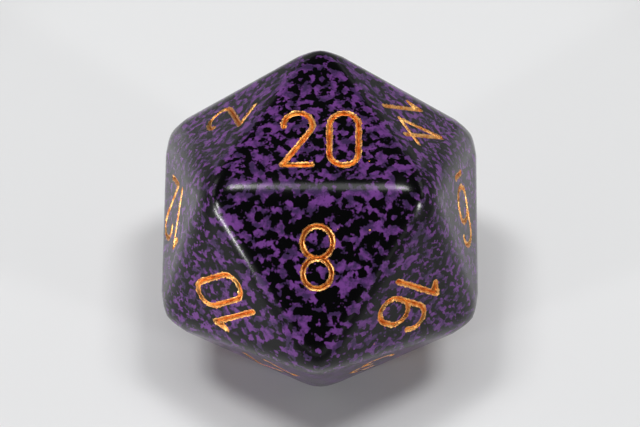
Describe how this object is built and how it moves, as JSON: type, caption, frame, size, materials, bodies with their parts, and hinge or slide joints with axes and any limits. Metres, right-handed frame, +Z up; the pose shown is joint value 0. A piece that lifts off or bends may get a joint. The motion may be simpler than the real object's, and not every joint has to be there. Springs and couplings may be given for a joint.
{
  "type": "twenty-sided die",
  "caption": "Icosahedral gaming die with rounded edges and corners, engraved numerals and copper ink laid in the engraving.",
  "frame": {"origin": "centre of the object's bounding box in X and Y, on the plane of face 1, which the die rests on", "axes": "+Z up through face 20; -Y towards face 8, whose lower corner points at the ground; +X towards face 14, to the right as face 20 is read"},
  "size_m": [0.0358, 0.0402, 0.034],
  "materials": {
    "speckled_resin": "polished cast resin, black with irregular purple speckles about a millimetre across",
    "copper_ink": "metallic copper-gold paint, slightly uneven, wiped into the engraving"
  },
  "bodies": {
    "root": {"die_body": "speckled_resin", "ink_01_units": "copper_ink", "ink_02_units": "copper_ink", "ink_03_units": "copper_ink", "ink_04_units": "copper_ink", "ink_05_units": "copper_ink", "ink_06_units": "copper_ink", "ink_06_underline": "copper_ink", "ink_07_units": "copper_ink", "ink_08_units": "copper_ink", "ink_09_units": "copper_ink", "ink_09_underline": "copper_ink", "ink_10_tens": "copper_ink", "ink_10_units": "copper_ink", "ink_11_tens": "copper_ink", "ink_11_units": "copper_ink", "ink_12_tens": "copper_ink", "ink_12_units": "copper_ink", "ink_13_tens": "copper_ink", "ink_13_units": "copper_ink", "ink_14_tens": "copper_ink", "ink_14_units": "copper_ink", "ink_15_tens": "copper_ink", "ink_15_units": "copper_ink", "ink_16_tens": "copper_ink", "ink_16_units": "copper_ink", "ink_17_tens": "copper_ink", "ink_17_units": "copper_ink", "ink_18_tens": "copper_ink", "ink_18_units": "copper_ink", "ink_19_tens": "copper_ink", "ink_19_units": "copper_ink", "ink_20_tens": "copper_ink", "ink_20_units": "copper_ink"}
  },
  "joints": []
}
